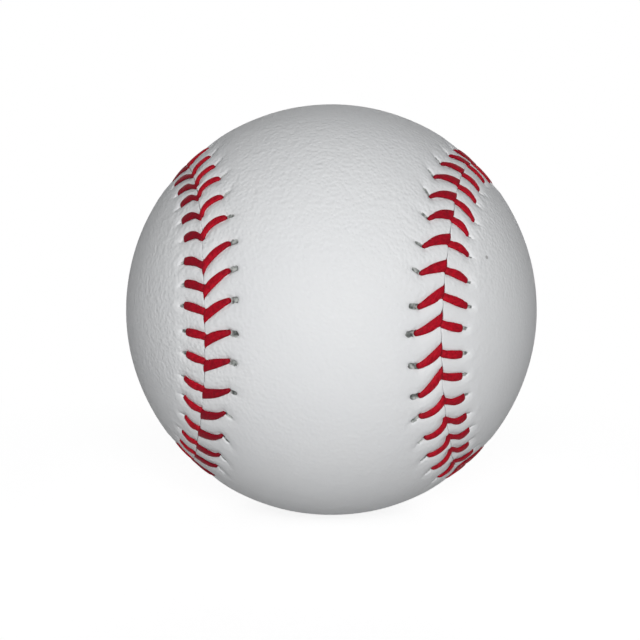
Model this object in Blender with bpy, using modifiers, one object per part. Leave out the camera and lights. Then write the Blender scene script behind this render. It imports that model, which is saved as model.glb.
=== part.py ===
"""A training baseball 72 mm across, built from the inside out as the real one is.

A cork core sits in two rubber cups with a washer between them, inside a moulded
jacket. Four windings of yarn bring it up to size. Two leather panels, each shaped
like a figure of eight, close round it and are laced together edge to edge with two
red threads. Every size is in millimetres, the ball's centre is the origin, and the
waist of panel A faces -Y.
"""

import math

import bmesh
import bpy
import numpy as np
from mathutils import Vector

MM = 0.001

# The ball and its cover.
BALL_DIAMETER = 72.0
COVER_THICKNESS = 1.4
SHELF_THICKNESS = 1.0  # leather squeezed between the lacing above and below it
EDGE_THICKNESS = 0.65  # leather at its cut edge, pulled down into the seam
CEMENT_FILM = 0.5  # cement and its clearance, between the cover and the yarn

# The seam, as a curve on a sphere round the waist axis.
WAIST_HALF_ANGLE = math.radians(29.9)
SEAM_SWING = math.radians(19.4)
SEAM_GAP = 0.3

# The lacing: one stitch is a V, with a stroke on each panel.
STITCH_PAIRS = 44
THREAD_DIAMETER = 0.76
THREAD_CLEARANCE = 0.17
HOLE_REACH = 4.15  # from the seam to where a thread comes up
HOLE_REACH_SWING = 0.3  # longer on the waist's side of the seam
HOLE_SLANT = 1.75  # how far that lies behind where its V meets the seam
HOLE_SLANT_SWING = 0.24  # longer on the waist's side too
HOLE_SLANT_LEAN = 0.7  # longer where panel A widens ahead of the stitch
HOLE_LENGTH = 1.6  # an oval slit, with the thread at its inner end
DIVE_LEAD = -0.12  # of the place midway between a V's two dives
DIVE_SPACING = 0.95  # between the two threads where they cross in the seam
BOW_ALONG = 0.5  # a stroke's middle, as shares of its way from hole to seam
BOW_ACROSS = 0.6
CREST_ACROSS = 1.8  # from the seam to the top of the leather's roll
FOOT_WIDTH = 1.6  # from the holes to where the leather lies flat again

# The windings, from the outside in. The first one fills what is left.
FINISHING_THICKNESS = 0.6
THIRD_THICKNESS = 1.1
SECOND_THICKNESS = 1.4

# The cushioned cork centre.
CORE_DIAMETER = 20.6
CUP_THICKNESS = 3.8
WASHER_THICKNESS = 1.6
JACKET_THICKNESS = 2.1

FIT_GAP = 0.3  # between pieces that touch
PINHOLE_DIAMETER = 1.2  # lets the air out of each closed layer

# How finely round forms are cut.
SPHERE_SIDES = 15
SPHERE_RINGS = 8
RUNG_STEPS = 6
SEAM_SAMPLES = 4000

# What follows from the sizes above.
BALL_RADIUS = BALL_DIAMETER / 2
THREAD_RADIUS = THREAD_DIAMETER / 2
DIVE_REACH = 1.2 * THREAD_RADIUS
COVER_INSIDE = BALL_RADIUS - COVER_THICKNESS
FINISHING_RADIUS = COVER_INSIDE - CEMENT_FILM
THIRD_RADIUS = FINISHING_RADIUS - FINISHING_THICKNESS - FIT_GAP
SECOND_RADIUS = THIRD_RADIUS - THIRD_THICKNESS - FIT_GAP
FIRST_RADIUS = SECOND_RADIUS - SECOND_THICKNESS - FIT_GAP
CORE_RADIUS = CORE_DIAMETER / 2
CUP_RADIUS = CORE_RADIUS + FIT_GAP + CUP_THICKNESS
JACKET_RADIUS = CUP_RADIUS + FIT_GAP + JACKET_THICKNESS
SHELF_INSIDE = FINISHING_RADIUS + THREAD_DIAMETER + 2 * THREAD_CLEARANCE
SHELF_RADIUS = SHELF_INSIDE + SHELF_THICKNESS
UNDER_RADIUS = FINISHING_RADIUS + THREAD_CLEARANCE + THREAD_RADIUS
LIFT = THREAD_RADIUS + THREAD_CLEARANCE / 2
DIVE_RADIUS = SHELF_INSIDE + 0.6 * EDGE_THICKNESS
STITCHES = 2 * STITCH_PAIRS
HOLE_HALF_WIDTH = THREAD_RADIUS + THREAD_CLEARANCE
SHELF_ACROSS = HOLE_REACH + HOLE_REACH_SWING + HOLE_LENGTH - HOLE_HALF_WIDTH
FOOT_ACROSS = SHELF_ACROSS + FOOT_WIDTH
TIP_GAP = THREAD_RADIUS + 2 * THREAD_CLEARANCE

LEATHER = ("cover_leather", (0.74, 0.76, 0.78), 0.5)
THREAD = ("waxed_thread", (0.46, 0.01, 0.03), 0.55)
CORK = ("cork_rubber", (0.42, 0.25, 0.13), 0.85)
BLACK_RUBBER = ("black_rubber", (0.02, 0.02, 0.02), 0.6)
RED_RUBBER = ("red_rubber", (0.42, 0.03, 0.02), 0.6)
GREY_WOOL = ("grey_wool", (0.33, 0.33, 0.34), 0.95)
WHITE_WOOL = ("white_wool", (0.72, 0.7, 0.65), 0.95)
COTTON = ("cotton_yarn", (0.8, 0.79, 0.74), 0.9)


def clear_scene():
    for old in list(bpy.data.objects):
        bpy.data.objects.remove(old)


def finish(piece, finish_of, parts):
    """Gives a piece its material and puts it in the ball's collection."""
    name, colour, roughness = finish_of
    material = bpy.data.materials.get(name)
    if material is None:
        material = bpy.data.materials.new(name)
        material.use_nodes = True
        shader = material.node_tree.nodes["Principled BSDF"]
        shader.inputs["Base Color"].default_value = (*colour, 1.0)
        shader.inputs["Roughness"].default_value = roughness
        shader.inputs["Metallic"].default_value = 0.0
    piece.data.materials.append(material)
    parts.objects.link(piece)
    return piece


# The seam


def seam_direction(turn):
    """Direction of the seam at a turn from 0 to 4 pi, starting on the right of the waist."""
    away = math.pi / 2 - (math.pi / 2 - WAIST_HALF_ANGLE) * np.cos(turn)
    around = turn / 2 + SEAM_SWING * np.sin(2 * turn)
    return np.stack(
        [np.sin(away) * np.cos(around), -np.cos(away), np.sin(away) * np.sin(around)],
        axis=-1,
    )


SEAM_TURNS = np.linspace(0.0, 4 * math.pi, SEAM_SAMPLES + 1)
SEAM_STEPS = np.linalg.norm(np.diff(seam_direction(SEAM_TURNS), axis=0), axis=1)
SEAM_LENGTHS = np.concatenate([[0.0], np.cumsum(SEAM_STEPS)]) * BALL_RADIUS
SEAM_LENGTH = float(SEAM_LENGTHS[-1])
PITCH = SEAM_LENGTH / STITCHES


def turn_at(along):
    """The turn that lies this far along the seam."""
    return float(np.interp(along % SEAM_LENGTH, SEAM_LENGTHS, SEAM_TURNS))


def place(along, across, radius):
    """The point this far along the seam, this far to panel A's side, at this radius."""
    step = PITCH / 50
    here = Vector(seam_direction(turn_at(along))).normalized()
    before = Vector(seam_direction(turn_at(along - step)))
    after = Vector(seam_direction(turn_at(along + step)))
    sideways = here.cross(after - before).normalized()
    angle = across / BALL_RADIUS
    return (here * math.cos(angle) + sideways * math.sin(angle)) * radius


def tip_along(stitch):
    """Where a stitch's V meets the seam. The waist falls midway between two of them."""
    return (stitch + 0.5) * PITCH


def slant_and_reach(stitch, side):
    """How far behind its V, and how far from the seam, a stitch's thread comes up."""
    turn = turn_at(tip_along(stitch))
    swing = side * math.cos(turn)
    lean = side * math.sin(turn)
    slant = HOLE_SLANT + HOLE_SLANT_SWING * swing + HOLE_SLANT_LEAN * lean
    return slant, HOLE_REACH + HOLE_REACH_SWING * swing


def hole_rim(stitch, side):
    """The corners of a stitch's hole, as along and reach, in line with its stroke."""
    slant, reach = slant_and_reach(stitch, side)
    stroke = math.hypot(slant, reach)
    out = Vector((-slant, reach)) / stroke
    ahead = Vector((reach, slant)) / stroke
    centre = Vector((tip_along(stitch) - slant, reach))
    back = HOLE_LENGTH - HOLE_HALF_WIDTH
    corners = ((-1, -1), (-1, 1), (1, 1), (1, -1))
    return [
        centre
        + out * (back if far > 0 else -HOLE_HALF_WIDTH)
        + ahead * HOLE_HALF_WIDTH * turn
        for far, turn in corners
    ]


# The cushioned cork centre and the windings


def arc(radius, first, last):
    """Points from the pole angle first to last, both in rings from the top pole."""
    angles = [math.pi * ring / SPHERE_RINGS for ring in range(first, last + 1)]
    return [(radius * math.sin(a), radius * math.cos(a)) for a in angles]


def turned(name, profile, closed, finish_of, parts):
    """Turns a profile of (distance from the axis, height) round the waist axis, top to +Y."""
    edges = [(i, i + 1) for i in range(len(profile) - 1)]
    if closed:
        edges.append((len(profile) - 1, 0))
    mesh = bpy.data.meshes.new(name)
    mesh.from_pydata([(x * MM, 0.0, z * MM) for x, z in profile], edges, [])
    piece = bpy.data.objects.new(name, mesh)
    screw = piece.modifiers.new("Turn", "SCREW")
    screw.steps = screw.render_steps = SPHERE_SIDES
    screw.use_merge_vertices = True
    screw.merge_threshold = 0.00001
    screw.use_smooth_shade = True
    piece.rotation_euler.x = -math.pi / 2
    return finish(piece, finish_of, parts)


def make_core(parts):
    profile = arc(CORE_RADIUS, 0, SPHERE_RINGS)
    profile[0] = (0.0, CORE_RADIUS)
    profile[-1] = (0.0, -CORE_RADIUS)
    turned("cork_core", profile, False, CORK, parts)


def make_cup(name, turned_over, parts):
    """One rubber cup: a little under half a ball, open at its rim."""
    rim = (WASHER_THICKNESS / 2) + FIT_GAP
    inside = CORE_RADIUS + FIT_GAP
    rings = SPHERE_RINGS // 2
    outer = arc(CUP_RADIUS, 0, rings)
    inner = arc(inside, 0, rings)
    outer[0] = (0.0, CUP_RADIUS)
    inner[0] = (0.0, inside)
    outer.append((math.sqrt(CUP_RADIUS**2 - rim**2), rim))
    inner.append((math.sqrt(inside**2 - rim**2), rim))
    cup = turned(name, outer + inner[::-1], False, BLACK_RUBBER, parts)
    if turned_over:
        cup.rotation_euler.x = math.pi / 2


def make_washer(parts):
    inside = CORE_RADIUS + FIT_GAP
    half = WASHER_THICKNESS / 2
    profile = [
        (math.sqrt(CUP_RADIUS**2 - half**2), half),
        (math.sqrt(CUP_RADIUS**2 - half**2), -half),
        (inside, -half),
        (inside, half),
    ]
    turned("pill_washer", profile, True, RED_RUBBER, parts)


def make_layer(name, inside, outside, finish_of, parts):
    """A closed layer of even thickness, with a pinhole at its top."""
    pin = PINHOLE_DIAMETER / 2
    outer = arc(outside, 0, SPHERE_RINGS)
    inner = arc(inside, 0, SPHERE_RINGS)
    outer[0] = (pin, math.sqrt(outside**2 - pin**2))
    inner[0] = (pin, math.sqrt(inside**2 - pin**2))
    outer[-1] = (0.0, -outside)
    inner[-1] = (0.0, -inside)
    profile = inner[::-1] + outer
    turned(name, profile, False, finish_of, parts)


def make_centre(parts):
    make_core(parts)
    make_cup("pill_cup_back", False, parts)
    make_cup("pill_cup_front", True, parts)
    make_washer(parts)
    make_layer("pill_jacket", CUP_RADIUS + FIT_GAP, JACKET_RADIUS, RED_RUBBER, parts)


def make_windings(parts):
    layers = (
        ("first_winding", JACKET_RADIUS + FIT_GAP, FIRST_RADIUS, GREY_WOOL),
        ("second_winding", FIRST_RADIUS + FIT_GAP, SECOND_RADIUS, WHITE_WOOL),
        ("third_winding", SECOND_RADIUS + FIT_GAP, THIRD_RADIUS, GREY_WOOL),
        ("finishing_winding", THIRD_RADIUS + FIT_GAP, FINISHING_RADIUS, COTTON),
    )
    for name, inside, outside, finish_of in layers:
        make_layer(name, inside, outside, finish_of, parts)


# The cover


def add_loop(sheet, depth, side, points):
    """Adds a loop of vertices, each given as along, across, outer radius and inner radius."""
    loop = []
    for along, across, outer, inner in points:
        vertex = sheet.verts.new(place(along, side * across, outer) * MM)
        vertex[depth] = (outer - inner) * MM
        loop.append(vertex)
    return loop


def add_hole_band(sheet, depth, side, crest, foot):
    """Joins the crest to the foot with a stitch hole left open in each face."""
    for stitch in range(STITCHES):
        before = (stitch - 1) % STITCHES
        corners = [crest[before], crest[stitch], foot[stitch], foot[before]]
        places = [(u, w, SHELF_RADIUS, SHELF_INSIDE) for u, w in hole_rim(stitch, side)]
        rim = add_loop(sheet, depth, side, places)
        for i in range(4):
            j = (i + 1) % 4
            sheet.faces.new([corners[i], corners[j], rim[j], rim[i]])


def add_ladder(sheet, depth, side, foot):
    """Fills a panel inside its foot loop with rungs from each edge to the one opposite."""
    start = -(STITCHES // 4) if side > 0 else 0
    rungs = []
    for i in range(STITCH_PAIRS):
        first = foot[(start + i) % STITCHES]
        last = foot[(start - 1 - i) % STITCHES]
        rung = [first]
        for step in range(1, RUNG_STEPS):
            share = step / RUNG_STEPS
            way = first.co.normalized().slerp(last.co.normalized(), share)
            vertex = sheet.verts.new(way * BALL_RADIUS * MM)
            vertex[depth] = COVER_THICKNESS * MM
            rung.append(vertex)
        rung.append(last)
        rungs.append(rung)
    # The first and the last rung lie along the foot loop itself, so they stay straight.
    for end in (rungs[0], rungs[-1]):
        for vertex in end[1:-1]:
            sheet.verts.remove(vertex)
        del end[1:-1]
    for i in range(STITCH_PAIRS - 1):
        lower, upper = rungs[i], rungs[i + 1]
        if len(lower) == len(upper):
            for j in range(RUNG_STEPS):
                sheet.faces.new([lower[j], lower[j + 1], upper[j + 1], upper[j]])
        else:
            sheet.faces.new(lower + upper[::-1])


def make_panel(name, side, parts):
    """One cover panel, with side 1 for A and -1 for B: a sheet thickened towards the centre."""
    sheet = bmesh.new()
    depth = sheet.verts.layers.float.new("depth")
    half_steps = []
    for stitch in range(STITCHES):
        half_steps.append((tip_along(stitch), TIP_GAP))
        half_steps.append((tip_along(stitch + 0.5), SEAM_GAP / 2))
    edge_radius = SHELF_INSIDE + EDGE_THICKNESS
    edge = add_loop(
        sheet, depth, side, [(u, w, edge_radius, SHELF_INSIDE) for u, w in half_steps]
    )
    tips = [tip_along(stitch) for stitch in range(STITCHES)]
    crest = add_loop(
        sheet, depth, side, [(u, CREST_ACROSS, SHELF_RADIUS, SHELF_INSIDE) for u in tips]
    )
    foot = add_loop(
        sheet, depth, side, [(u, FOOT_ACROSS, BALL_RADIUS, COVER_INSIDE) for u in tips]
    )
    for stitch in range(STITCHES):
        ahead = (stitch + 1) % STITCHES
        wide, narrow, next_wide = (edge[(2 * stitch + i) % len(edge)] for i in range(3))
        sheet.faces.new([wide, narrow, crest[stitch]])
        sheet.faces.new([narrow, next_wide, crest[ahead]])
        sheet.faces.new([narrow, crest[ahead], crest[stitch]])
    add_hole_band(sheet, depth, side, crest, foot)
    add_ladder(sheet, depth, side, foot)
    bmesh.ops.recalc_face_normals(sheet, faces=sheet.faces)
    face = max(sheet.faces, key=lambda f: f.calc_area())
    if face.normal.dot(face.calc_center_median()) < 0:
        bmesh.ops.reverse_faces(sheet, faces=sheet.faces)
    thicken(sheet, depth)
    mesh = bpy.data.meshes.new(name)
    sheet.to_mesh(mesh)
    sheet.free()
    mesh.shade_smooth()
    mesh.set_sharp_from_angle(angle=math.radians(40))
    return finish(bpy.data.objects.new(name, mesh), LEATHER, parts)


def thicken(sheet, depth):
    """Extrudes the sheet towards the ball's centre by each vertex's own depth."""
    outer = list(sheet.faces)
    grown = bmesh.ops.extrude_face_region(sheet, geom=outer, use_keep_orig=True)
    for vertex in (item for item in grown["geom"] if isinstance(item, bmesh.types.BMVert)):
        vertex.co -= vertex.co.normalized() * vertex[depth]
    bmesh.ops.recalc_face_normals(sheet, faces=sheet.faces)


# The lacing


def stitch_route(stitch, side):
    """A thread's way from a hole, over the leather, down the seam and under the other panel."""
    tip = tip_along(stitch) + DIVE_LEAD + side * DIVE_SPACING / 2
    slant, reach = slant_and_reach(stitch, side)
    hole_along = tip_along(stitch) - slant
    hole_across = side * reach
    over = side * DIVE_REACH
    ridge_along = hole_along + (tip - hole_along) * BOW_ALONG
    ridge_across = hole_across + (over - hole_across) * BOW_ACROSS
    return [
        place(hole_along, hole_across, UNDER_RADIUS),
        place(hole_along, hole_across, SHELF_RADIUS + LIFT),
        place(ridge_along, ridge_across, SHELF_RADIUS + LIFT),
        place(tip, over, SHELF_RADIUS + THREAD_CLEARANCE / 2),
        place(tip, -side * THREAD_CLEARANCE / 2, DIVE_RADIUS),
        place(tip + THREAD_CLEARANCE, -over, UNDER_RADIUS),
    ]


def make_thread(name, first_side, parts):
    """One unbroken thread that takes a stitch on each panel in turn, all the way round."""
    route = []
    for stitch in range(STITCHES):
        side = first_side if stitch % 2 == 0 else -first_side
        route.extend(stitch_route(stitch, side))
    tail = place(SEAM_LENGTH + HOLE_SLANT_SWING, first_side * HOLE_REACH / 2, UNDER_RADIUS)
    route.append(tail)
    curve = bpy.data.curves.new(name, "CURVE")
    curve.dimensions = "3D"
    curve.bevel_depth = THREAD_RADIUS * MM
    curve.bevel_resolution = 0
    curve.use_fill_caps = True
    spline = curve.splines.new("POLY")
    spline.points.add(len(route) - 1)
    for point, position in zip(spline.points, route):
        point.co = (*(position * MM), 1.0)
    return finish(bpy.data.objects.new(name, curve), THREAD, parts)


def main():
    clear_scene()
    parts = bpy.data.collections.new("training_baseball")
    bpy.context.scene.collection.children.link(parts)
    make_centre(parts)
    make_windings(parts)
    make_panel("cover_panel_a", 1, parts)
    make_panel("cover_panel_b", -1, parts)
    make_thread("lacing_thread_1", 1, parts)
    make_thread("lacing_thread_2", -1, parts)


main()
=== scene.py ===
"""The looks of a training baseball: its leather cover, its red lacing and what lies inside.

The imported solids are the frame. Both cover panels and both lacing threads are modelled
again here with their puffed leather, open stitch holes and flattened thread, and each
rides on the ball where its solid lies. Sizes are in millimetres and turn to metres
when a mesh is laid out.
"""

import math

import bpy
import numpy as np
from mathutils import Matrix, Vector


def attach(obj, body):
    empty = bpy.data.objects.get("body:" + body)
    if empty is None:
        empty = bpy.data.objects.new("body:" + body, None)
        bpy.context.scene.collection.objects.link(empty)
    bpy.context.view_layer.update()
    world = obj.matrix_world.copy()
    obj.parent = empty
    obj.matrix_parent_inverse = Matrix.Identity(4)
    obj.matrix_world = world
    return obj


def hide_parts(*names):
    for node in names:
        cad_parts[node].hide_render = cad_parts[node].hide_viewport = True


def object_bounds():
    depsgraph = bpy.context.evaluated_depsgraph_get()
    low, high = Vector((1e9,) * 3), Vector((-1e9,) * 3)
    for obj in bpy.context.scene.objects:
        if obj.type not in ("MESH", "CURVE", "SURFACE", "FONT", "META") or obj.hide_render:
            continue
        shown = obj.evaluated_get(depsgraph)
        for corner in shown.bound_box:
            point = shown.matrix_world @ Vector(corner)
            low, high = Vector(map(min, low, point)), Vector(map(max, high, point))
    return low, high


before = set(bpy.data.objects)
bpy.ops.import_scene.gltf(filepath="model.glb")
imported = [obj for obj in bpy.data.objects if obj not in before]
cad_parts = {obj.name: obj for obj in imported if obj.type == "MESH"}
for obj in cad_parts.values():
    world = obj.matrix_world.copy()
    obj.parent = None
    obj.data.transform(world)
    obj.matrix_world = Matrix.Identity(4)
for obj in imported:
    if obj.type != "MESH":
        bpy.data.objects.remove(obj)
cad_low, cad_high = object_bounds()

MM = 0.001

# The ball and its seam, as in the part's source, but with the waist a quarter of a
# millimetre wider on each side, where the photo shows the drawn-in leather's seam.
BALL_RADIUS = 36.0
WAIST_HALF_ANGLE = math.radians(30.3)
SEAM_SWING = math.radians(19.4)
SEAM_SAMPLES = 4000
STITCHES = 88
LINING_RADIUS = 34.6
SHELF_LINING_RADIUS = 35.2
UNDER_RADIUS = 34.65

# Where each stitch lies, measured back from the tip of its V.
TIP_LEAD = 0.95
SLANT = 2.7
SLANT_SWING = 0.24
SLANT_LEAN = 0.7
REACH = 4.3
REACH_SWING = 0.05
SLIT_LEAN = 0.32
CLOSED_EDGE = 0.006
# The lacing pulls the leather beside the seam this far below the ball's round.
DRAWN_IN = 0.3

# Holes are punched evenly, and each V is pulled a little forward or back from its place.
UNEVEN_HOLE = 0.09
UNEVEN_TIP = 0.14
# Stitches that are plainly out of line, counted along the seam, with how far forward.
PULLED_TIPS = {
    78: -0.6, 79: -1.3, 80: -2.0, 81: -1.0, 82: -0.2, 83: -0.5, 84: -0.4, 85: -0.4, 87: -0.2,
    0: 0.2, 1: 0.2, 3: 0.4, 4: 0.7, 5: 0.5, 6: 0.2, 7: 0.4, 8: 1.5, 9: 1.7, 10: 1.0,
    32: -0.5, 33: -1.1, 34: -1.8, 35: -1.9, 36: 0.4, 37: 0.5, 38: -0.4, 39: -0.1, 40: -0.2,
    41: 0.8, 42: 0.6, 45: -0.4, 46: 0.2, 47: 0.3, 48: 0.7, 49: 1.2, 50: 1.8, 51: 3.7, 52: 3.1,
    53: 2.1, 54: 1.2, 55: 0.5,
}
# The same for their holes on side A, which is 1, and on side B, which is -1.
SHIFTED_HOLES = {
    1: {
        78: -1.0, 79: -2.0, 80: -3.0, 81: -1.9, 82: -1.0, 83: -0.8, 84: -0.7, 85: -0.3,
        86: -0.9, 87: -0.4, 0: 0.1, 1: -0.4, 2: 0.2, 3: 0.1, 4: 0.6, 5: 0.3, 6: 0.3, 7: 0.3,
        8: 0.7, 9: 1.3, 10: 0.8,
        32: -0.5, 33: -1.2, 34: -2.0, 35: -2.1, 36: -0.2, 37: 0.1, 38: -0.1, 39: -0.2, 40: -0.4,
        41: -0.2, 42: -0.3, 43: -0.2, 46: 0.3, 47: 0.3, 48: 0.8, 49: 1.6, 50: 1.6, 51: 3.7,
        52: 3.1, 53: 2.1, 54: 1.2, 55: 0.5,
    },
    -1: {
        78: -1.0, 79: -2.0, 80: -3.0, 81: -2.0, 82: -0.8, 83: -0.5, 84: -0.4, 87: -0.5,
        1: -0.4, 2: -0.3, 4: -0.3, 5: -0.6, 6: 0.2, 7: 0.6, 8: 1.9, 9: 2.1, 10: 1.2,
        32: -0.6, 33: -1.3, 34: -2.1, 35: -2.6, 36: -1.3, 37: 0.0, 38: 0.4, 39: 0.5, 40: 0.4,
        41: 0.4, 43: -0.5, 46: 0.2, 48: 0.4, 49: 1.8, 50: 2.8, 51: 4.0, 52: 3.3, 53: 2.2,
        54: 1.3, 55: 0.6,
    },
}
# Holes that lie further from the seam than the others, or nearer to it.
LONG_REACHES = {
    1: {
        36: -0.8, 37: -0.7, 38: -0.2, 40: 0.3, 41: 0.7, 42: 0.3, 43: 0.3, 46: 0.3, 48: -0.4,
        49: -0.6, 50: -0.5, 82: -0.2, 83: -0.3, 84: -0.5, 85: 0.3, 0: 0.3, 4: -0.4, 8: -0.3,
    },
    -1: {
        40: -0.2, 43: 0.3, 46: 0.2, 48: -0.3, 81: -0.9, 82: -0.6, 86: -0.2,
        1: 0.7, 4: -0.3, 5: 0.3, 6: -0.3, 7: -0.6, 8: -0.7,
    },
}
# The V's tip runs on along the seam this far, and further at a few stitches.
TAIL = 0.1
LONG_TAILS = {0: 0.7, 1: 0.3, 41: 0.7, 42: 0.45}
# How far the seam strays from its even line at a stitch, to panel A's side.
STRAYS = {
    2: 0.0, 4: -0.2, 6: 0.2, 7: 0.4, 8: 0.6, 11: 0.0, 31: 0.0, 34: -0.6, 38: -0.25, 39: 0.0,
    42: -0.15, 43: -0.2, 45: 0.0, 47: -0.3, 48: -0.7, 49: -0.7, 51: -0.3, 54: 0.0, 78: 0.0,
    80: 0.5, 81: 0.3, 82: -0.35, 83: -0.3, 84: -0.1, 85: 0.0,
}

# How finely the leather is laid out round the seam.
STEPS_PER_STITCH = 24
COARSE_STEPS = 12
LINING_STEPS = 6
BAND_WIDTH = 9.6
# How a panel's edge rolls over into the seam, and where the rows of its mesh lie there.
EDGE_ROLL = 0.26
EDGE_DROP = 0.12
EDGE_ROWS = [0.0, 0.04, 0.1, 0.19, 0.3, 0.46]

# How high the leather puffs up between the stitches and beyond each hole, and how deep
# it is pressed in under the thread and at the hole.
PUFF_HEIGHT = 0.14
LIP_HEIGHT = {1: 0.02, -1: 0.12}
GROOVE_DEPTH = 0.2
PIT_DEPTH = 0.28
# How far out from where the thread comes up the crease, the pit and the lip reach.
CREASE_REACH = {1: 2.6, -1: 1.5}
PIT_REACH = {1: 1.1, -1: 0.6}
LIP_REACH = {1: 2.3, -1: 1.75}

# How finely the threads are laid out.
THREAD_SIDES = 14
KNOT_STEPS = 3

rng = np.random.default_rng(72)


# The seam


def seam_direction(turn):
    """Direction of the seam at a turn from 0 to 4 pi, starting on the right of the waist."""
    away = math.pi / 2 - (math.pi / 2 - WAIST_HALF_ANGLE) * np.cos(turn)
    around = turn / 2 + SEAM_SWING * np.sin(2 * turn)
    return np.stack(
        [np.sin(away) * np.cos(around), -np.cos(away), np.sin(away) * np.sin(around)],
        axis=-1,
    )


SEAM_TURNS = np.linspace(0.0, 4 * math.pi, SEAM_SAMPLES + 1)
SEAM_STEPS = np.linalg.norm(np.diff(seam_direction(SEAM_TURNS), axis=0), axis=1)
SEAM_LENGTHS = np.concatenate([[0.0], np.cumsum(SEAM_STEPS)]) * BALL_RADIUS
SEAM_LENGTH = float(SEAM_LENGTHS[-1])
PITCH = SEAM_LENGTH / STITCHES


def turn_at(along):
    return np.interp(np.mod(along, SEAM_LENGTH), SEAM_LENGTHS, SEAM_TURNS)


def unit(vectors):
    return vectors / np.linalg.norm(vectors, axis=-1, keepdims=True)


def seam_frame(along):
    """Outward, forward and sideways (towards panel A) at places along the seam."""
    step = PITCH / 50
    outward = unit(seam_direction(turn_at(along)))
    ahead = seam_direction(turn_at(along + step)) - seam_direction(turn_at(along - step))
    sideways = unit(np.cross(outward, ahead))
    return outward, np.cross(sideways, outward), sideways


def direction_at(along, across):
    """Direction of a place this far along the seam and this far to panel A's side."""
    outward, _, sideways = seam_frame(along)
    angle = np.asarray(across)[..., None] / BALL_RADIUS
    return outward * np.cos(angle) + sideways * np.sin(angle)


def ease(value, low, high):
    """Rises smoothly from 0 at low to 1 at high."""
    share = np.clip((value - low) / (high - low), 0.0, 1.0)
    return share * share * (3 - 2 * share)


# The stitches


def stitch_layout():
    """Each stitch's tip, and for side A and side B its stroke on the leather."""
    even = (np.arange(STITCHES) + 0.5) * PITCH + TIP_LEAD
    pulled = rng.normal(0.0, UNEVEN_TIP, STITCHES)
    for stitch, forward in PULLED_TIPS.items():
        pulled[stitch] = forward
    turn = turn_at(even)
    strokes = {}
    for side in (1, -1):
        shifted = rng.normal(0.0, UNEVEN_HOLE, STITCHES)
        for stitch, forward in SHIFTED_HOLES[side].items():
            shifted[stitch] = forward
        slant = SLANT + side * (SLANT_SWING * np.cos(turn) + SLANT_LEAN * np.sin(turn))
        reach = REACH + side * REACH_SWING * np.cos(turn) + rng.normal(0.0, UNEVEN_HOLE, STITCHES)
        for stitch, further in LONG_REACHES[side].items():
            reach[stitch] += further
        lean = side * SLIT_LEAN * np.sin(turn) + rng.normal(0.0, 0.12, STITCHES)
        strokes[side] = {"slant": slant + pulled - shifted, "reach": reach, "lean": lean}
    return even + pulled, strokes


TIPS, STROKES = stitch_layout()
# Where a stroke's middle line goes down into the seam, on each side.
DIVE_BEHIND = {1: 1.2, -1: 1.95}
DIVE_ACROSS = {1: 0.3, -1: 0.34}
# The thread stands this far inside the outer end of its stroke as it comes up.
RISE_INSIDE = 0.3


def leans_at(stitch):
    """How far the seam turns one way and the other at a stitch, each from 0 to 1."""
    lean = math.sin(turn_at(TIPS[stitch]))
    return float(ease(lean, 0.1, 0.8)), float(ease(-lean, 0.1, 0.8))


def hooked_at(stitch):
    """From 0 to 1: how far side B's stroke, and not side A's, makes the tip of the V."""
    to_the_left = float(ease(-math.cos(turn_at(TIPS[stitch]) / 2), 0.0, 0.5))
    return to_the_left * leans_at(stitch)[1]


def dive_behind(stitch, side):
    if side > 0:
        return DIVE_BEHIND[side]
    return DIVE_BEHIND[side] - 0.85 * leans_at(stitch)[1] - 0.45 * hooked_at(stitch)


def tail_of(stitch):
    return LONG_TAILS.get(stitch, TAIL) - 0.5 * hooked_at(stitch)


def stroke_line(stitch, side, shares):
    """Points of a stroke from its hole to the seam, as along (from the tip) and across."""
    stroke = STROKES[side]
    start = np.array([-stroke["slant"][stitch], stroke["reach"][stitch] - RISE_INSIDE])
    end = np.array([-dive_behind(stitch, side), DIVE_ACROSS[side]])
    one_way, other_way = leans_at(stitch)
    if side > 0:
        share = 0.6 - 0.1 * one_way + 0.2 * other_way
        to_the_right = math.cos(turn_at(TIPS[stitch]) / 2)
        forward = 1.05 * one_way - 0.5 - 1.25 * other_way * (1 + 0.2 * to_the_right)
    else:
        share = 0.5 + 0.2 * hooked_at(stitch)
        forward = 0.95 * one_way - 0.1 - (1.3 - 0.3 * hooked_at(stitch)) * other_way
    bend = start + (end - start) * share + np.array([forward, 0.0])
    shares = np.asarray(shares)[:, None]
    return start * (1 - shares) ** 2 + bend * 2 * shares * (1 - shares) + end * shares**2


def slit_line(stitch, side, lengths):
    """Points of a hole's slit, curving outward from where the thread comes up."""
    stroke = STROKES[side]
    start = np.array([-stroke["slant"][stitch], stroke["reach"][stitch]])
    lengths = np.asarray(lengths, float)
    swerve = math.tan(stroke["lean"][stitch]) * lengths * (0.7 + 0.22 * lengths)
    return start + np.stack([swerve, lengths], axis=1)


def distance_to_line(along, across, line):
    """Distance from many points to a line of points, and how far along it, from 0 to 1."""
    best = np.full(along.shape, 1e9)
    share = np.zeros(along.shape)
    for i in range(len(line) - 1):
        first, step = line[i], line[i + 1] - line[i]
        t = ((along - first[0]) * step[0] + (across - first[1]) * step[1]) / (step @ step)
        t = np.clip(t, 0.0, 1.0)
        away = np.hypot(along - first[0] - t * step[0], across - first[1] - t * step[1])
        nearer = away < best
        best = np.where(nearer, away, best)
        share = np.where(nearer, (i + t) / (len(line) - 1), share)
    return best, share


# Mesh helpers


def deselect_all():
    if bpy.context.mode != "OBJECT":
        bpy.ops.object.mode_set(mode="OBJECT")
    bpy.ops.object.select_all(action="DESELECT")


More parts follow.
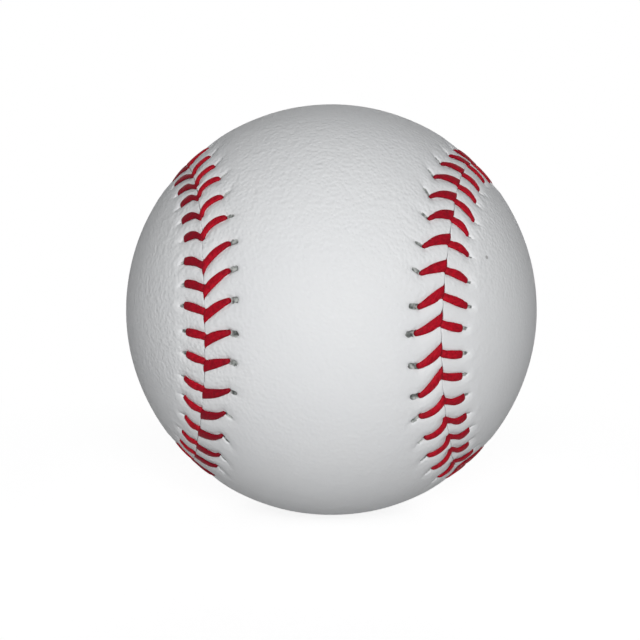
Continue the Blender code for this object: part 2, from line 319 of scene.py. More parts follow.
def laid_out_grid(name, points):
    """A primitive grid whose vertices are laid out at points, a rows by columns array."""
    rows, columns = points.shape[:2]
    deselect_all()
    bpy.ops.mesh.primitive_grid_add(
        x_subdivisions=columns - 1, y_subdivisions=rows - 1, size=1
    )
    piece = bpy.context.object
    piece.name = piece.data.name = name
    piece.data.vertices.foreach_set("co", (points.reshape(-1) * MM).astype(np.float32))
    piece.data.update()
    return piece


def add_measure(piece, name, values):
    """Stores one number for each vertex."""
    layer = piece.data.attributes.new(name, "FLOAT", "POINT")
    layer.data.foreach_set("value", np.asarray(values, np.float32).reshape(-1))


def merge_doubles(piece):
    deselect_all()
    piece.select_set(True)
    bpy.context.view_layer.objects.active = piece
    bpy.ops.object.mode_set(mode="EDIT")
    bpy.ops.mesh.select_all(action="SELECT")
    bpy.ops.mesh.remove_doubles(threshold=1e-6)
    bpy.ops.object.mode_set(mode="OBJECT")


def join(pieces):
    deselect_all()
    for piece in pieces:
        piece.select_set(True)
    bpy.context.view_layer.objects.active = pieces[0]
    bpy.ops.object.join()
    return pieces[0]


def bridge_rims(piece, low, high):
    """Bridges the two open rims whose across measure lies from low to high."""
    mesh = piece.data
    across = np.zeros(len(mesh.vertices), np.float32)
    mesh.attributes["across"].data.foreach_get("value", across)
    used = np.zeros(len(mesh.loops), np.int32)
    mesh.loops.foreach_get("edge_index", used)
    faces_at_edge = np.bincount(used, minlength=len(mesh.edges))
    ends = np.zeros(len(mesh.edges) * 2, np.int32)
    mesh.edges.foreach_get("vertices", ends)
    ends = ends.reshape(-1, 2)
    chosen = (faces_at_edge == 1) & (across[ends] >= low).all(1) & (across[ends] <= high).all(1)
    deselect_all()
    piece.select_set(True)
    bpy.context.view_layer.objects.active = piece
    bpy.ops.object.mode_set(mode="EDIT")
    bpy.context.tool_settings.mesh_select_mode = (False, True, False)
    bpy.ops.mesh.select_all(action="DESELECT")
    bpy.ops.object.mode_set(mode="OBJECT")
    mesh.edges.foreach_set("select", chosen)
    bpy.ops.object.mode_set(mode="EDIT")
    bpy.ops.mesh.bridge_edge_loops()
    bpy.ops.object.mode_set(mode="OBJECT")


def close_and_smooth(piece, sharp_angle):
    """Turns the faces outward and shades the piece smooth up to an angle."""
    deselect_all()
    piece.select_set(True)
    bpy.context.view_layer.objects.active = piece
    bpy.ops.object.mode_set(mode="EDIT")
    bpy.ops.mesh.select_all(action="SELECT")
    bpy.ops.mesh.normals_make_consistent(inside=False)
    bpy.ops.object.mode_set(mode="OBJECT")
    bpy.ops.object.shade_smooth_by_angle(angle=math.radians(sharp_angle))


# The leather


def unevenness(directions):
    """A slow swell of the whole cover, in millimetres, the same wherever panels meet."""
    swell = np.zeros(directions.shape[:-1])
    draw = np.random.default_rng(7)
    for _ in range(24):
        way = unit(draw.normal(size=3))
        waves = draw.uniform(6.0, 26.0)
        swell += np.sin(directions @ way * waves + draw.uniform(0, 6.28)) / waves
    return swell * 0.05


def seam_wander(along):
    """How far the closed seam strays from its line, to panel A's side."""
    phase = along / PITCH * 2 * math.pi
    wander = 0.03 * np.sin(phase * 0.5 + 1.0)
    wander = wander + 0.03 * np.sin(phase * 0.77) + 0.03 * np.sin(phase * 1.6)
    place = (np.mod(along, SEAM_LENGTH) - TIP_LEAD) / PITCH - 0.5
    for blur in (-0.6, -0.3, 0.0, 0.3, 0.6):
        wander = wander + np.interp(place + blur, list(STRAYS), list(STRAYS.values())) / 5
    return wander


def ahead_of(along, place):
    """Signed length along the closed seam from a place."""
    return np.mod(along - place + SEAM_LENGTH / 2, SEAM_LENGTH) - SEAM_LENGTH / 2


def edge_opening(along, side):
    """How far a panel's edge stands back: nearly closed, and pushed back by its thread."""
    opening = np.full(along.shape, CLOSED_EDGE)
    for stitch, tip in enumerate(TIPS):
        ahead = ahead_of(along, tip)
        tail = LONG_TAILS.get(stitch, TAIL)
        if side > 0:
            back = 0.36 * ease(ahead, -2.5, -2.0) * (1 - ease(ahead, -1.2, 0.05 + tail))
        else:
            ahead_of_dive = ahead + dive_behind(stitch, side)
            back = 0.3 * ease(ahead_of_dive, -0.65, -0.35) * (1 - ease(ahead, -1.5, tail))
        opening = np.maximum(opening, CLOSED_EDGE + back)
    return opening


def leather_relief(along, across, side):
    """Height of the leather over the ball, and how deep in a hole each place is."""
    nearest = np.full(along.shape, 9.0)
    groove = np.zeros(along.shape)
    pit = np.zeros(along.shape)
    lip = np.zeros(along.shape)
    for stitch in range(STITCHES):
        ahead = ahead_of(along[0], TIPS[stitch])
        near = np.abs(ahead + 2.0) < 6.5
        u, w = np.broadcast_to(ahead[near], (len(along), near.sum())), across[:, near]
        stroke, share = distance_to_line(u, w, stroke_line(stitch, side, np.linspace(0, 1, 10)))
        crease = slit_line(stitch, side, np.linspace(0.0, CREASE_REACH[side], 5))
        slit, reached = distance_to_line(u, w, crease)
        nearest[:, near] = np.minimum(nearest[:, near], stroke)
        nearest[:, near] = np.minimum(nearest[:, near], slit + 0.6 * reached)
        pressed = 1 - ease(stroke, 0.54, 1.02)
        creased = (1 - ease(slit, 0.05, 0.55)) * (1 - ease(reached, 0.5, 1.0)) * 0.5
        groove[:, near] = np.maximum(groove[:, near], np.maximum(pressed, creased))
        hole = slit_line(stitch, side, np.linspace(-0.3, PIT_REACH[side], 4))
        narrow = -0.06 if side > 0 else 0.04
        narrow += 0.2 * ease(max(leans_at(stitch)), 0.1, 0.9)
        from_hole, _ = distance_to_line(u, w, hole)
        ragged = np.sin(u * 9.0 + stitch) * np.sin(w * 7.0 + 2 * stitch)
        from_hole = from_hole * (1.0 + 0.14 * ragged)
        pit[:, near] = np.maximum(pit[:, near], 1 - ease(from_hole + narrow, 0.26, 0.52))
        end = slit_line(stitch, side, [LIP_REACH[side]])[0]
        lip[:, near] += np.exp(-(((u - end[0]) / 0.95) ** 2) - ((w - end[1]) / 0.75) ** 2)
    window = 1 - ease(across, 3.8, 9.2)
    pillow = ease(nearest, 0.7, 1.9) * window
    height = PUFF_HEIGHT * pillow - GROOVE_DEPTH * groove + LIP_HEIGHT[side] * lip
    height -= DRAWN_IN * (1 - ease(across, 3.2, 9.0))
    return height - PIT_DEPTH * pit, pit


def patch_directions(loop, long_side, short_side):
    """Fills a closed loop of directions, starting at a corner, with a grid of directions."""
    first = loop[: long_side + 1]
    second = loop[long_side : long_side + short_side + 1]
    third = loop[long_side + short_side : 2 * long_side + short_side + 1][::-1]
    fourth = np.concatenate([loop[2 * long_side + short_side :], loop[:1]])[::-1]
    u = np.linspace(0, 1, long_side + 1)[None, :, None]
    v = np.linspace(0, 1, short_side + 1)[:, None, None]
    rails = first[None] * (1 - v) + third[None] * v
    ends = fourth[:, None] * (1 - u) + second[:, None] * u
    corners = (
        first[0] * (1 - u) * (1 - v)
        + first[-1] * u * (1 - v)
        + third[0] * (1 - u) * v
        + third[-1] * u * v
    )
    return unit(rails + ends - corners)


def rim_loop(side, steps_per_stitch, short_side, across):
    """Directions round a panel's rim, from one corner of the patch that fills it."""
    count = STITCHES * steps_per_stitch
    start = -count // 4 if side > 0 else 0
    along = (np.arange(count) + start + short_side // 2) / count * SEAM_LENGTH
    return direction_at(along, np.full(count, side * across))


def make_panel_band(name, side):
    """The strip of leather beside the seam, with every groove, puff and stitch hole."""
    count = STITCHES * STEPS_PER_STITCH
    along = np.arange(count + 1) / count * SEAM_LENGTH
    rows = np.concatenate([EDGE_ROWS, np.linspace(0.7, 7.0, 24), np.linspace(7.4, BAND_WIDTH, 5)])
    opening = edge_opening(along, side)
    across = opening[None] + (BAND_WIDTH - opening[None]) * rows[:, None] / BAND_WIDTH
    spread = np.broadcast_to(along, across.shape)
    height, pit = leather_relief(spread, across, side)
    from_edge = across - opening[None]
    roll = 1 - np.clip(from_edge / EDGE_ROLL, 0.0, 1.0)
    height = height - EDGE_DROP * (1 - np.sqrt(np.clip(1 - roll**2, 0.0, 1.0)))
    fading = 1 - ease(across, 0.5, 3.0)
    directions = direction_at(spread, side * across + seam_wander(spread) * fading)
    radius = BALL_RADIUS + height + unevenness(directions)
    band = laid_out_grid(name, directions * radius[..., None])
    add_measure(band, "across", across)
    add_measure(band, "hole", pit)
    add_measure(band, "from_edge", from_edge)
    merge_doubles(band)
    return band


def make_patch(name, side, steps_per_stitch, short_side, across, radius_of):
    """The rest of a panel, filled in from its rim."""
    loop = rim_loop(side, steps_per_stitch, short_side, across)
    long_side = len(loop) // 2 - short_side
    directions = patch_directions(loop, long_side, short_side)
    patch = laid_out_grid(name, directions * radius_of(directions)[..., None])
    add_measure(patch, "across", np.full(directions.shape[:2], across))
    add_measure(patch, "hole", np.zeros(directions.shape[:2]))
    add_measure(patch, "from_edge", np.full(directions.shape[:2], across))
    return patch


def lining_radius(directions):
    """The leather's underside: it lies higher near the seam, where the threads run under it."""
    seam = unit(seam_direction(SEAM_TURNS[:-1:4]))
    flat = directions.reshape(-1, 3)
    nearest = np.empty(len(flat))
    for start in range(0, len(flat), 2000):
        nearest[start : start + 2000] = (flat[start : start + 2000] @ seam.T).max(1)
    away = np.arccos(np.clip(nearest, -1, 1)).reshape(directions.shape[:-1]) * BALL_RADIUS
    rise = SHELF_LINING_RADIUS - LINING_RADIUS
    return LINING_RADIUS + rise * (1 - ease(away, 4.8, 7.0))


def make_panel(name, side):
    """One cover panel: leather outside, a lining inside, and its cut edge between."""
    band = make_panel_band(name, side)
    outer = make_patch(
        "outer_patch",
        side,
        COARSE_STEPS,
        32,
        BAND_WIDTH + 0.25,
        lambda ways: BALL_RADIUS + unevenness(ways),
    )
    lining = make_patch("lining_patch", side, LINING_STEPS, 20, 0.3, lining_radius)
    panel = join([band, outer, lining])
    bridge_rims(panel, BAND_WIDTH - 0.01, BAND_WIDTH + 0.3)
    bridge_rims(panel, 0.0, 1.0)
    close_and_smooth(panel, 60)
    return panel


# The lacing


def thread_knots(stitch, side, tip):
    """One stitch of a thread: under its panel, up the hole, over the leather, down the seam.

    Each knot is along, across, radius, half width, half thickness, how far the width is
    turned from square to the thread towards the line of the seam, and how much painted
    shade darkens the thread there.
    """
    stroke = STROKES[side]
    start = tip - stroke["slant"][stitch]
    rise = stroke["reach"][stitch] - RISE_INSIDE
    one_way, other_way = leans_at(stitch)
    level = BALL_RADIUS - DRAWN_IN
    wide = 0.48 - 0.1 * one_way if side > 0 else 0.6 - 0.24 * one_way + 0.12 * other_way
    knots = [
        (start - 0.35, side * rise * 0.55, UNDER_RADIUS, 0.42, 0.36, 0.0, 1.0),
        (start - 0.08, side * (rise - 0.15), UNDER_RADIUS + 0.1, 0.46, 0.34, 0.0, 1.0),
        (start, side * (rise + 0.02), UNDER_RADIUS + 0.62, wide - 0.06, 0.3, 0.0, 0.8),
        (start + 0.02, side * (rise - 0.03), level - 0.08, wide, 0.28, 0.0, 0.3),
    ]
    over = stroke_line(stitch, side, [0.16, 0.34, 0.52, 0.7, 0.87])
    if side > 0:
        widths = np.array([0.58, 0.69, 0.76, 0.8, 0.9])
        widths += one_way * np.array([-0.14, -0.08, -0.01, 0.06, 0.07])
        widths += other_way * np.array([0.04, -0.03, -0.14, -0.26, -0.44])
        turned = np.array([0.0, 0.0, 0.08, 0.42, 0.95]) * (1 - 0.9 * other_way)
    else:
        widths = np.array([0.66, 0.69, 0.69, 0.66, 0.62])
        widths += one_way * np.array([-0.2, -0.04, 0.05, 0.04, 0.0])
        widths += other_way * np.array([0.12, 0.12, 0.02, -0.14, -0.18])
        turned = (0.0, 0.0, 0.0, 0.0, 0.2)
    heights = (0.02, 0.06, 0.07, 0.06, 0.04)
    for (u, w), width, height, turn in zip(over, widths, heights, turned):
        knots.append((tip + u, side * w, level + height, width, 0.26, turn, 0.0))
    end = tip - dive_behind(stitch, side)
    if side > 0:
        tail = tail_of(stitch)
        spread = np.array(
            [
                (end + 0.1, 0.08, level - 0.02, 1.0, 0.31, 1.0, 0.55),
                (end + 0.35 + tail, 0.02, level - 0.3, 0.86, 0.32, 1.0, 0.9),
                (end + 0.5 + tail, -0.14, level - 0.68, 0.5, 0.3, 0.5, 1.0),
                (end + 0.6, -0.7, UNDER_RADIUS + 0.05, 0.42, 0.34, 0.0, 1.0),
            ]
        )
        drawn_along = np.array(
            [
                (end + 0.25, 0.2, level, 0.42, 0.28, 0.1, 0.3),
                (end + 0.8 + tail, 0.08, level - 0.18, 0.32, 0.28, 0.1, 0.8),
                (end + 1.15 + tail, -0.04, level - 0.62, 0.26, 0.28, 0.1, 1.0),
                (end + 0.9, -0.7, UNDER_RADIUS + 0.05, 0.42, 0.34, 0.0, 1.0),
            ]
        )
        knots += [tuple(knot) for knot in spread * (1 - other_way) + drawn_along * other_way]
    else:
        knots += [
            (end + 0.1, -0.1, level - 0.06, 0.62, 0.25, 0.6, 0.3),
            (end + 0.12, 0.14, level - 0.4, 0.54, 0.24, 0.7, 0.9),
            (end + 0.16, 0.36, level - 0.7, 0.44, 0.3, 0.3, 1.0),
            (end + 0.3, 0.8, UNDER_RADIUS - 0.05, 0.42, 0.34, 0.0, 1.0),
        ]
    return knots


def smooth_through(knots, steps):
    """Points of a smooth line through knots, with so many steps between each two."""
    points = [knots[0]]
    for i in range(len(knots) - 1):
        before, here = knots[max(i - 1, 0)], knots[i]
        there, after = knots[i + 1], knots[min(i + 2, len(knots) - 1)]
        for step in range(1, steps + 1):
            t = step / steps
            points.append(
                0.5
                * (
                    2 * here
                    + (there - before) * t
                    + (2 * before - 5 * here + 4 * there - after) * t**2
                    + (3 * here - before - 3 * there + after) * t**3
                )
            )
    return np.array(points)


def make_thread(name, first_side):
    """One unbroken thread, flattened where it is pulled down over the leather."""
    sides = THREAD_SIDES
    knots = []
    for stitch in range(STITCHES):
        side = first_side if stitch % 2 == 0 else -first_side
        knots += thread_knots(stitch, side, TIPS[stitch])
    line = smooth_through(np.array(knots), KNOT_STEPS)
    along, across, radius = line[:, 0], line[:, 1], line[:, 2]
    fading = 1 - ease(np.abs(across), 0.5, 3.0)
    outward = direction_at(along, across + seam_wander(along) * fading)
    centres = outward * radius[:, None]
    tangents = unit(np.gradient(centres, axis=0))
    _, forward, _ = seam_frame(along)
    rings = np.empty((len(line), sides + 1, 3))
    last = forward[0]
    angles = np.linspace(0, 2 * math.pi, sides + 1)
    for i in range(len(line)):
        flat = np.cross(outward[i], tangents[i])
        level = np.linalg.norm(flat)
        flat = flat * (1 if flat @ last >= 0 else -1)
        ahead = forward[i] * (1 if forward[i] @ last >= 0 else -1)
        broad = flat * level + ahead * (1 - level)
        broad = broad - tangents[i] * (broad @ tangents[i])
        broad = broad / np.linalg.norm(broad)
        last = broad
        thin = np.cross(tangents[i], broad)
        onward = forward[i] * (1 if forward[i] @ broad >= 0 else -1)
        broad = broad * (1 - line[i, 5]) + onward * line[i, 5]
        broad = broad / np.linalg.norm(broad)
        rings[i] = (
            centres[i]
            + np.outer(np.cos(angles), broad) * line[i, 3]
            + np.outer(np.sin(angles), thin) * line[i, 4]
        )
    thread = laid_out_grid(name, rings)
    lengths = np.linalg.norm(np.diff(centres, axis=0), axis=1)
    run = np.concatenate([[0.0], np.cumsum(lengths)])
    corner = np.zeros(len(thread.data.loops), np.int32)
    thread.data.loops.foreach_get("vertex_index", corner)
    places = np.stack([run[corner // (sides + 1)], corner % (sides + 1) / sides], axis=1)
    thread.data.uv_layers[0].data.foreach_set("uv", places.astype(np.float32).reshape(-1))
    thread_painted_shade = np.clip(line[:, 6], 0.0, 1.0)
    # Painted shade: a stroke that leans away from the light is painted duller, more so on the
    # ball's left, and every stroke is painted duller towards its hole.
    turn = turn_at(along)
    on_left = ease(-np.cos(turn / 2), -0.4, 0.5)
    leaning = np.sign(across) * np.sin(turn)
    lean_painted_shade = (0.45 + 0.4 * on_left) * ease(leaning, 0.05 - 0.45 * on_left, 0.85)
    lean_painted_shade = lean_painted_shade + (0.3 - 0.3 * lean_painted_shade) * ease(np.abs(across), 2.0, 4.2)
    add_measure(thread, "thread_painted_shade", np.repeat(np.maximum(thread_painted_shade, lean_painted_shade), sides + 1))
    merge_doubles(thread)
    bpy.ops.object.mode_set(mode="EDIT")
    bpy.ops.mesh.select_all(action="SELECT")
    bpy.ops.mesh.fill_holes(sides=sides)
    bpy.ops.object.mode_set(mode="OBJECT")
    close_and_smooth(thread, 70)
    return thread


# Shader sums


class Wire:
    """An output of a node that takes part in sums as a number would."""

    def __init__(self, finish, socket):
        self.finish = finish
        self.socket = socket

    def sum(self, operation, *terms):
        sockets = dict(enumerate(terms or (self,)))
        return self.finish.node("ShaderNodeMath", {"operation": operation}, sockets)

    def __add__(self, other):
        return self.sum("ADD", self, other)

    def __sub__(self, other):
        return self.sum("SUBTRACT", self, other)

    def __rsub__(self, other):
        return self.sum("SUBTRACT", other, self)

    def __mul__(self, other):
        return self.sum("MULTIPLY", self, other)

    __radd__ = __add__
    __rmul__ = __mul__


class Nodes:
    """The node tree of a material or of the world."""

    def __init__(self, owner):
        owner.use_nodes = True
        self.tree = owner.node_tree

    def node(self, kind, settings=None, sockets=None, out=0):
        made = self.tree.nodes.new(kind)
        for name, value in (settings or {}).items():
            if name == "stops":
                self.set_stops(made.color_ramp, value)
            else:
                setattr(made, name, value)
        for name, value in (sockets or {}).items():
            self.feed(made.inputs[name], value)
        return Wire(self, made.outputs[out])

    def feed(self, socket, value):
        if isinstance(value, Wire):
            self.tree.links.new(value.socket, socket)
        else:
            socket.default_value = value

    def set_stops(self, ramp, stops):
        for i, (place, colour) in enumerate(stops):
            stop = ramp.elements[i] if i < 2 else ramp.elements.new(place)
            stop.position = place
            stop.color = (*colour, 1.0)

    def surface(self, wire, output="Material Output"):
        self.feed(self.tree.nodes[output].inputs["Surface"], wire)

    def place(self):
        return self.node("ShaderNodeTexCoord", out="Object")

    def measure(self, name):
        return self.node("ShaderNodeAttribute", {"attribute_name": name}, out="Fac")

    def axis(self, vector, name):
        return self.node("ShaderNodeSeparateXYZ", None, {0: vector}, name)

    def noise(self, scale, detail, vector=None, rough=0.5):
        sockets = {"Vector": vector or self.place(), "Scale": scale}
        sockets.update({"Detail": detail, "Roughness": rough})
        return self.node("ShaderNodeTexNoise", None, sockets)

    def cells(self, scale, feature="F1", out="Distance"):
        sockets = {"Vector": self.place(), "Scale": scale}
        return self.node("ShaderNodeTexVoronoi", {"feature": feature}, sockets, out)

    def between(self, value, low, high):
        """Rises smoothly from 0 at low to 1 at high."""
        return self.node(
            "ShaderNodeMapRange",
            {"interpolation_type": "SMOOTHSTEP"},
            {"Value": value, "From Min": low, "From Max": high},
        )

    def blend(self, share, first, second):
        """Two colours mixed: the mix node keeps its colours on sockets 6, 7 and 2."""
        first = first if isinstance(first, Wire) else (*first, 1.0)
        second = second if isinstance(second, Wire) else (*second, 1.0)
        sockets = {0: share, 6: first, 7: second}
        return self.node("ShaderNodeMix", {"data_type": "RGBA"}, sockets, 2)

    def seen(self):
        """One where the camera, a reflection or a clear body looks, and else zero."""
        looks = ("Is Camera Ray", "Is Glossy Ray", "Is Transmission Ray")
        camera, glossy, clear = (self.node("ShaderNodeLightPath", out=look) for look in looks)
        looking = camera + glossy + clear
        return looking.sum("MINIMUM", looking, 1.0)

    def bump(self, height, depth, below=None):
        sockets = {"Height": height, "Distance": depth * MM, "Strength": 1.0}
        if below:
            sockets["Normal"] = below
        return self.node("ShaderNodeBump", None, sockets)


class Finish(Nodes):
    """A material on the Principled shader that it starts with."""

    def __init__(self, name, **constants):
        self.material = bpy.data.materials.new(name)
        super().__init__(self.material)
        self.shader = self.tree.nodes["Principled BSDF"]
        for socket, value in constants.items():
            self.shader.inputs[socket.replace("_", " ")].default_value = value

    def show(self, **wires):
        for socket, wire in wires.items():
            self.feed(self.shader.inputs[socket.replace("_", " ")], wire)
        return self.material


# Finishes


def leather_finish():
    finish = Finish("cover_leather", Roughness=0.5, Specular_IOR_Level=0.03)
    hole = finish.measure("hole")
    edge = finish.measure("from_edge")
    colour = finish.blend(finish.noise(55.0, 4.0), (0.755, 0.765, 0.78), (0.8, 0.806, 0.808))
    colour = finish.blend(finish.noise(420.0, 3.0) * 0.3, colour, (0.74, 0.755, 0.775))
    rare = finish.between(finish.cells(75.0), 0.03, 0.018)
    colour = finish.blend(rare * 0.5, colour, (0.12, 0.11, 0.1))
    # Painted shade along the seam: a thin dark grey line on each panel's edge where the panels meet,
    # stronger in some places than in others.
    tight = finish.between(finish.noise(210.0, 1.0), 0.36, 0.6)
    crease = 1 - finish.between(edge, 0.0, 0.1)
    colour = finish.blend(crease * (0.05 + tight * 0.7), colour, (0.13, 0.13, 0.14))
    # Inside a stitch hole: the raw cut leather, mottled grey, with painted shade down to near black.
    stops = [
        (0.34, (0.09, 0.097, 0.093)),
        (0.48, (0.25, 0.265, 0.255)),
        (0.66, (0.52, 0.54, 0.52)),
    ]
    fuzz = finish.noise(1350.0, 1.0) + finish.noise(140.0, 0.0) * 0.2 - 0.1
    raw_fibre_and_painted_shade = finish.node("ShaderNodeValToRGB", {"stops": stops}, {"Fac": fuzz})
    colour = finish.blend(finish.between(hole, 0.3, 0.8), colour, raw_fibre_and_painted_shade)
    to_top_left = finish.axis(finish.place(), "Z") - finish.axis(finish.place(), "X")
    grained = finish.between(finish.noise(31.0, 1.0) + to_top_left * 7.0, 0.3, 0.8)
    pores = finish.cells(1750.0, "SMOOTH_F1")
    wrinkles = finish.noise(700.0, 4.0, rough=0.6)
    normal = finish.bump(pores * (0.5 + grained * 0.9), 0.09)
    normal = finish.bump(wrinkles * (0.3 + grained * 0.8), 0.11, normal)
    normal = finish.bump(finish.noise(160.0, 3.0), 0.09, normal)
    rough = 0.48 + finish.noise(700.0, 2.0) * 0.16
    return finish.show(Base_Color=colour, Roughness=rough, Normal=normal)


def thread_finish():
    finish = Finish("waxed_thread", Specular_IOR_Level=0.16)
    laid = finish.node("ShaderNodeUVMap")
    run = finish.axis(laid, "X")
    round_it = finish.axis(laid, "Y")
    strands = (run * 6.3 + round_it * (6 * math.pi)).sum("SINE")
    drawn = finish.node("ShaderNodeCombineXYZ", None, {0: run * 1.3, 1: round_it * 16.0 + run})
    fibres = finish.noise(1.0, 3.0, drawn, 0.6)
    mottle = finish.noise(1500.0, 4.0, rough=0.65)
    shade = finish.between(mottle, 0.3, 0.7)
    colour = finish.blend(shade, (0.27, 0.0005, 0.009), (0.51, 0.003, 0.017))
    colour = finish.blend(finish.between(fibres, 0.48, 0.72) * 0.35, colour, (0.6, 0.02, 0.036))
    colour = finish.blend(finish.between(fibres, 0.46, 0.3) * 0.4, colour, (0.2, 0.0, 0.005))
    # Painted shade: the thread is painted dark maroon where it goes down into the seam or a hole,
    # and where it leans away from the light.
    colour = finish.blend(finish.measure("thread_painted_shade") * 0.75, colour, (0.1, 0.0, 0.008))
    normal = finish.bump(strands, 0.012)
    normal = finish.bump(fibres, 0.035, normal)
    rough = 0.55 + mottle * 0.2
    return finish.show(Base_Color=colour, Roughness=rough, Normal=normal)


def cork_finish():
    finish = Finish("cork_rubber", Specular_IOR_Level=0.25)
    tone = finish.axis(finish.cells(900.0, out="Color"), "X")
    gaps = finish.cells(900.0, "DISTANCE_TO_EDGE")
    colour = finish.blend(tone, (0.3, 0.16, 0.07), (0.52, 0.33, 0.17))
    colour = finish.blend(1 - finish.between(gaps, 0.0, 0.08), colour, (0.06, 0.03, 0.02))
    normal = finish.bump(finish.between(gaps, 0.0, 0.15), 0.15)
    return finish.show(Base_Color=colour, Roughness=0.7 + tone * 0.2, Normal=normal)


def rubber_finish(name, dark, light):
    finish = Finish(name, Specular_IOR_Level=0.4)
    dust = finish.noise(160.0, 5.0)
    colour = finish.blend(finish.between(dust, 0.4, 0.75), dark, light)
    normal = finish.bump(finish.noise(1500.0, 2.0), 0.03)
    return finish.show(Base_Color=colour, Roughness=0.5 + dust * 0.25, Normal=normal)


def yarn_finish(name, dark, light, yarn_width):
    """Yarn wound in many directions: bands of turns that cross one another."""
    finish = Finish(name, Specular_IOR_Level=0.15, Sheen_Weight=0.3)
    place = finish.place()
    turns = None
    for i, tilt in enumerate(((0.3, 0.2, 0.0), (1.4, 0.5, 0.9), (0.7, 1.3, 2.1))):
        turned = finish.node(
            "ShaderNodeVectorRotate",
            {"rotation_type": "EULER_XYZ"},
            {"Vector": place, "Rotation": tilt},
        )
        sockets = {"Vector": turned, "Scale": 0.32 / (yarn_width * MM)}
        sockets.update({"Distortion": 1.2, "Detail": 1.0, "Detail Scale": 30.0})
        bands = {"wave_type": "BANDS", "bands_direction": "X"}
        wound = finish.node("ShaderNodeTexWave", bands, sockets, "Fac")
        if turns is None:
            turns = wound
        else:
            share = finish.between(finish.noise(90.0 + 25 * i, 1.0), 0.49, 0.51)
            turns = turns * (1 - share) + wound * share
    fibres = finish.noise(3000.0, 4.0)
    colour = finish.blend(turns * 0.7 + fibres * 0.3, dark, light)
    normal = finish.bump(turns, 0.18)
    normal = finish.bump(fibres, 0.05, normal)
    return finish.show(Base_Color=colour, Roughness=0.85 + fibres * 0.12, Normal=normal)


# The pieces


def dress(piece, material):
    piece.data.materials.clear()
    piece.data.materials.append(material)


def cover_the_ball():
    leather = leather_finish()
    for name, side in (("cover_leather_a", 1), ("cover_leather_b", -1)):
        panel = make_panel(name, side)
        dress(panel, leather)
        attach(panel, "root")
        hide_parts("cover_panel_a" if side > 0 else "cover_panel_b")


def lace_the_seam():
    waxed = thread_finish()
    for number, first_side in ((1, 1), (2, -1)):
        thread = make_thread(f"red_lacing_{number}", first_side)
        dress(thread, waxed)
        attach(thread, "root")
        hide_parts(f"lacing_thread_{number}")


def finish_the_centre():
    black = rubber_finish("black_rubber", (0.012, 0.012, 0.013), (0.04, 0.04, 0.042))
    red = rubber_finish("red_rubber", (0.36, 0.02, 0.015), (0.46, 0.05, 0.04))
    grey = yarn_finish("grey_wool", (0.16, 0.16, 0.17), (0.4, 0.4, 0.41), 1.1)
    white = yarn_finish("white_wool", (0.45, 0.43, 0.39), (0.8, 0.78, 0.73), 1.0)
    cotton = yarn_finish("cotton_yarn", (0.5, 0.49, 0.45), (0.85, 0.84, 0.79), 0.5)
    finishes = {
        "cork_core": cork_finish(),
        "pill_cup_back": black,
        "pill_cup_front": black,
        "pill_washer": red,
        "pill_jacket": red,
        "first_winding": grey,
        "second_winding": white,
        "third_winding": grey,
        "finishing_winding": cotton,
    }
    for name, material in finishes.items():
        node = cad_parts[name]
        for material_slot in node.material_slots:
            material_slot.link = "OBJECT"
            material_slot.material = material


# The studio


def make_floor():
    """A plain floor that shows white, with the ball's soft shadow near where it rests."""
    deselect_all()
    bpy.ops.mesh.primitive_circle_add(
        vertices=96, radius=2.0, fill_type="NGON", location=(0, 0, cad_low.z)
    )
    floor = bpy.context.object
    floor.name = "studio_floor"
    finish = Finish("floor_paint", Base_Color=(0.45, 0.45, 0.45, 1.0), Specular_IOR_Level=0.0)
    paint = Wire(finish, finish.shader.outputs[0])
    glow = finish.node("ShaderNodeEmission", None, {"Strength": 0.82})
    white = finish.node("ShaderNodeEmission", None, {"Strength": 1.0})
    lit = finish.node("ShaderNodeAddShader", None, {0: paint, 1: glow})
    away = finish.node("ShaderNodeVectorMath", {"operation": "LENGTH"}, {0: finish.place()}, "Value")
    far = finish.between(away, 0.045, 0.13)
    shown = finish.node("ShaderNodeMixShader", None, {0: far, 1: lit, 2: white})
    finish.surface(finish.node("ShaderNodeMixShader", None, {0: finish.seen(), 1: paint, 2: shown}))
    dress(floor, finish.material)


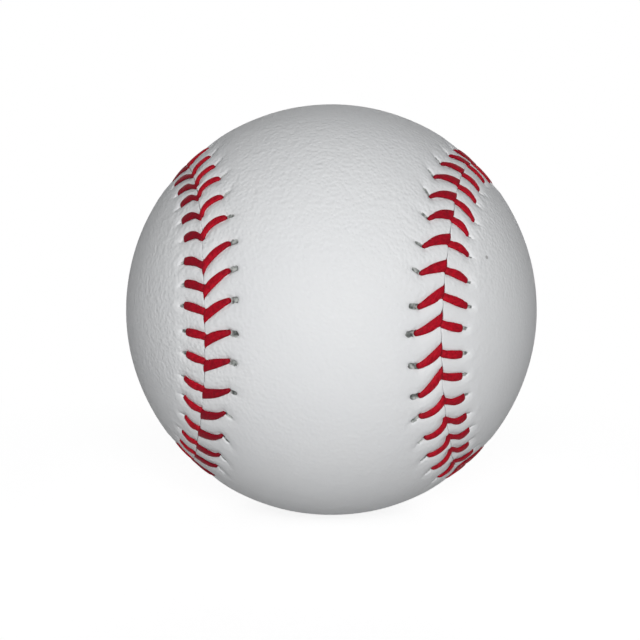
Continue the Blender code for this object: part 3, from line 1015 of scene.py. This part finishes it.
def make_world():
    """A white surround for the camera, and an even dim light for everything else."""
    world = bpy.data.worlds.new("studio")
    bpy.context.scene.world = world
    nodes = Nodes(world)
    dim = nodes.node(
        "ShaderNodeBackground", None, {"Color": (0.96, 0.98, 1.0, 1.0), "Strength": 0.07}
    )
    white = nodes.node("ShaderNodeBackground", None, {"Color": (1, 1, 1, 1), "Strength": 1.0})
    shown = nodes.node("ShaderNodeMixShader", None, {0: nodes.seen(), 1: dim, 2: white})
    nodes.surface(shown, "World Output")


def make_lamp(name, place, size, power):
    """A square soft box that faces the ball."""
    deselect_all()
    bpy.ops.object.light_add(type="AREA", location=place)
    lamp = bpy.context.object
    lamp.name = name
    lamp.data.size = size
    lamp.data.energy = power
    reach = math.hypot(place[0], place[1])
    tilt = math.atan2(reach, place[2])
    heading = math.atan2(place[1], place[0]) + math.pi / 2
    lamp.rotation_euler = (tilt, 0.0, heading)
    lamp.visible_camera = False
    return lamp


CAMERA_PITCH = math.radians(6.3)
CAMERA_YAW = math.radians(-2.3)
CAMERA_ROLL = math.radians(0.4)
CAMERA_DISTANCE = 6 * BALL_RADIUS
FOCAL_PIXELS = 1214.5
PICTURE = 640
SENSOR = 36.0
BALL_ACROSS_PICTURE = (331.35, 309.6)


def make_camera():
    """Stands where the ball shows as the photograph has it."""
    deselect_all()
    bpy.ops.object.camera_add()
    camera = bpy.context.object
    camera.name = "camera"
    turned = (
        Matrix.Rotation(-CAMERA_YAW, 4, "Z")
        @ Matrix.Rotation(math.pi / 2 - CAMERA_PITCH, 4, "X")
        @ Matrix.Rotation(CAMERA_ROLL, 4, "Z")
    )
    back = Matrix.Translation((0.0, 0.0, CAMERA_DISTANCE * MM))
    camera.matrix_world = turned @ back
    camera.data.sensor_width = SENSOR
    camera.data.lens = FOCAL_PIXELS / PICTURE * SENSOR
    camera.data.shift_x = (PICTURE / 2 - BALL_ACROSS_PICTURE[0]) / PICTURE
    camera.data.shift_y = (BALL_ACROSS_PICTURE[1] - PICTURE / 2) / PICTURE
    bpy.context.scene.camera = camera


cover_the_ball()
lace_the_seam()
finish_the_centre()
make_floor()
make_world()
make_lamp("front_soft_box", (0.05, -0.62, 0.105), 0.4, 4.05)
make_lamp("back_soft_box", (0.0, 0.95, 0.14), 0.8, 7.0).visible_glossy = False
make_camera()
bpy.context.scene.view_settings.view_transform = "Standard"
